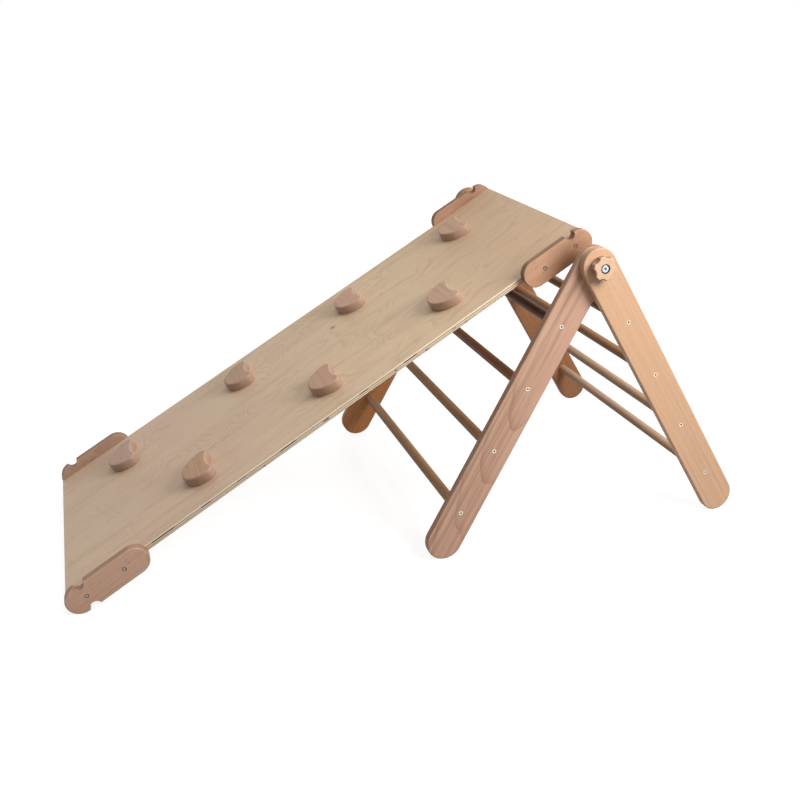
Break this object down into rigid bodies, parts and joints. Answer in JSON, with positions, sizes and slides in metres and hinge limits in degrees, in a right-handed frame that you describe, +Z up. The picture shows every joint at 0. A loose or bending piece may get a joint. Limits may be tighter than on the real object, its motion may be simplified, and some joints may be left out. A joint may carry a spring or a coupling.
{
  "type": "folding climbing triangle",
  "caption": "Wooden folding climbing triangle for small children, two ladder frames clamped by star knobs on one axle, with a hooked-on plywood ramp and half-moon holds.",
  "frame": {"origin": "on the floor under the centre of the whole object's box", "axes": "+X along the climb from the ramp's foot to the frames, +Y across, away from the near side, +Z up"},
  "size_m": [1.3672, 0.7428, 0.6373],
  "materials": {
    "leg_beech": "oiled satin",
    "rung_beech": "oiled satin",
    "knob_beech": "oiled satin",
    "cheek_beech": "oiled satin",
    "hold_beech": "oiled satin",
    "board_plywood": "clear satin varnish",
    "screw_zinc": "zinc plated",
    "bolt_steel": "zinc plated",
    "washer_nylon": "matt"
  },
  "bodies": {
    "inner_frame": {"inner_leg_near": "leg_beech", "inner_leg_far": "leg_beech", "inner_rung_1": "rung_beech", "inner_rung_2": "rung_beech", "inner_rung_3": "rung_beech", "inner_rung_4": "rung_beech", "axle_dowel": "rung_beech", "axle_insert_near": "bolt_steel", "axle_insert_far": "bolt_steel", "leg_washer_near": "washer_nylon", "leg_washer_far": "washer_nylon", "inner_rung_screws": "screw_zinc"},
    "outer_frame": {"outer_leg_near": "leg_beech", "outer_leg_far": "leg_beech", "outer_rung_1": "rung_beech", "outer_rung_2": "rung_beech", "outer_rung_3": "rung_beech", "outer_rung_4": "rung_beech", "knob_washer_near": "screw_zinc", "knob_washer_far": "screw_zinc", "outer_rung_screws": "screw_zinc"},
    "ramp": {"ramp_board": "board_plywood", "upper_cheek_near": "cheek_beech", "upper_cheek_far": "cheek_beech", "lower_cheek_near": "cheek_beech", "lower_cheek_far": "cheek_beech", "hold_1": "hold_beech", "hold_2": "hold_beech", "hold_3": "hold_beech", "hold_4": "hold_beech", "hold_5": "hold_beech", "hold_6": "hold_beech", "hold_7": "hold_beech", "cheek_screws": "screw_zinc", "hold_screws": "screw_zinc"},
    "near_knob": {"star_knob_near": "knob_beech", "knob_bolt_near": "bolt_steel"},
    "far_knob": {"star_knob_far": "knob_beech", "knob_bolt_far": "bolt_steel"}
  },
  "joints": [
    {"name": "frame_fold", "type": "hinge", "parent": "inner_frame", "child": "outer_frame", "pos_m": [0.33359, 0, 0.57913], "axis": [0, 1, 0], "range_deg": [0, 40]},
    {"name": "ramp_tilt", "type": "hinge", "parent": "inner_frame", "child": "ramp", "pos_m": [0.33359, 0, 0.57913], "axis": [0, 1, 0], "range_deg": [0, 60]},
    {"name": "near_knob_turn", "type": "hinge", "parent": "inner_frame", "child": "near_knob", "pos_m": [0.33359, 0, 0.57913], "axis": [0, -1, 0], "range_deg": [0, 360]},
    {"name": "far_knob_turn", "type": "hinge", "parent": "inner_frame", "child": "far_knob", "pos_m": [0.33359, 0, 0.57913], "axis": [0, 1, 0], "range_deg": [0, 360]}
  ]
}
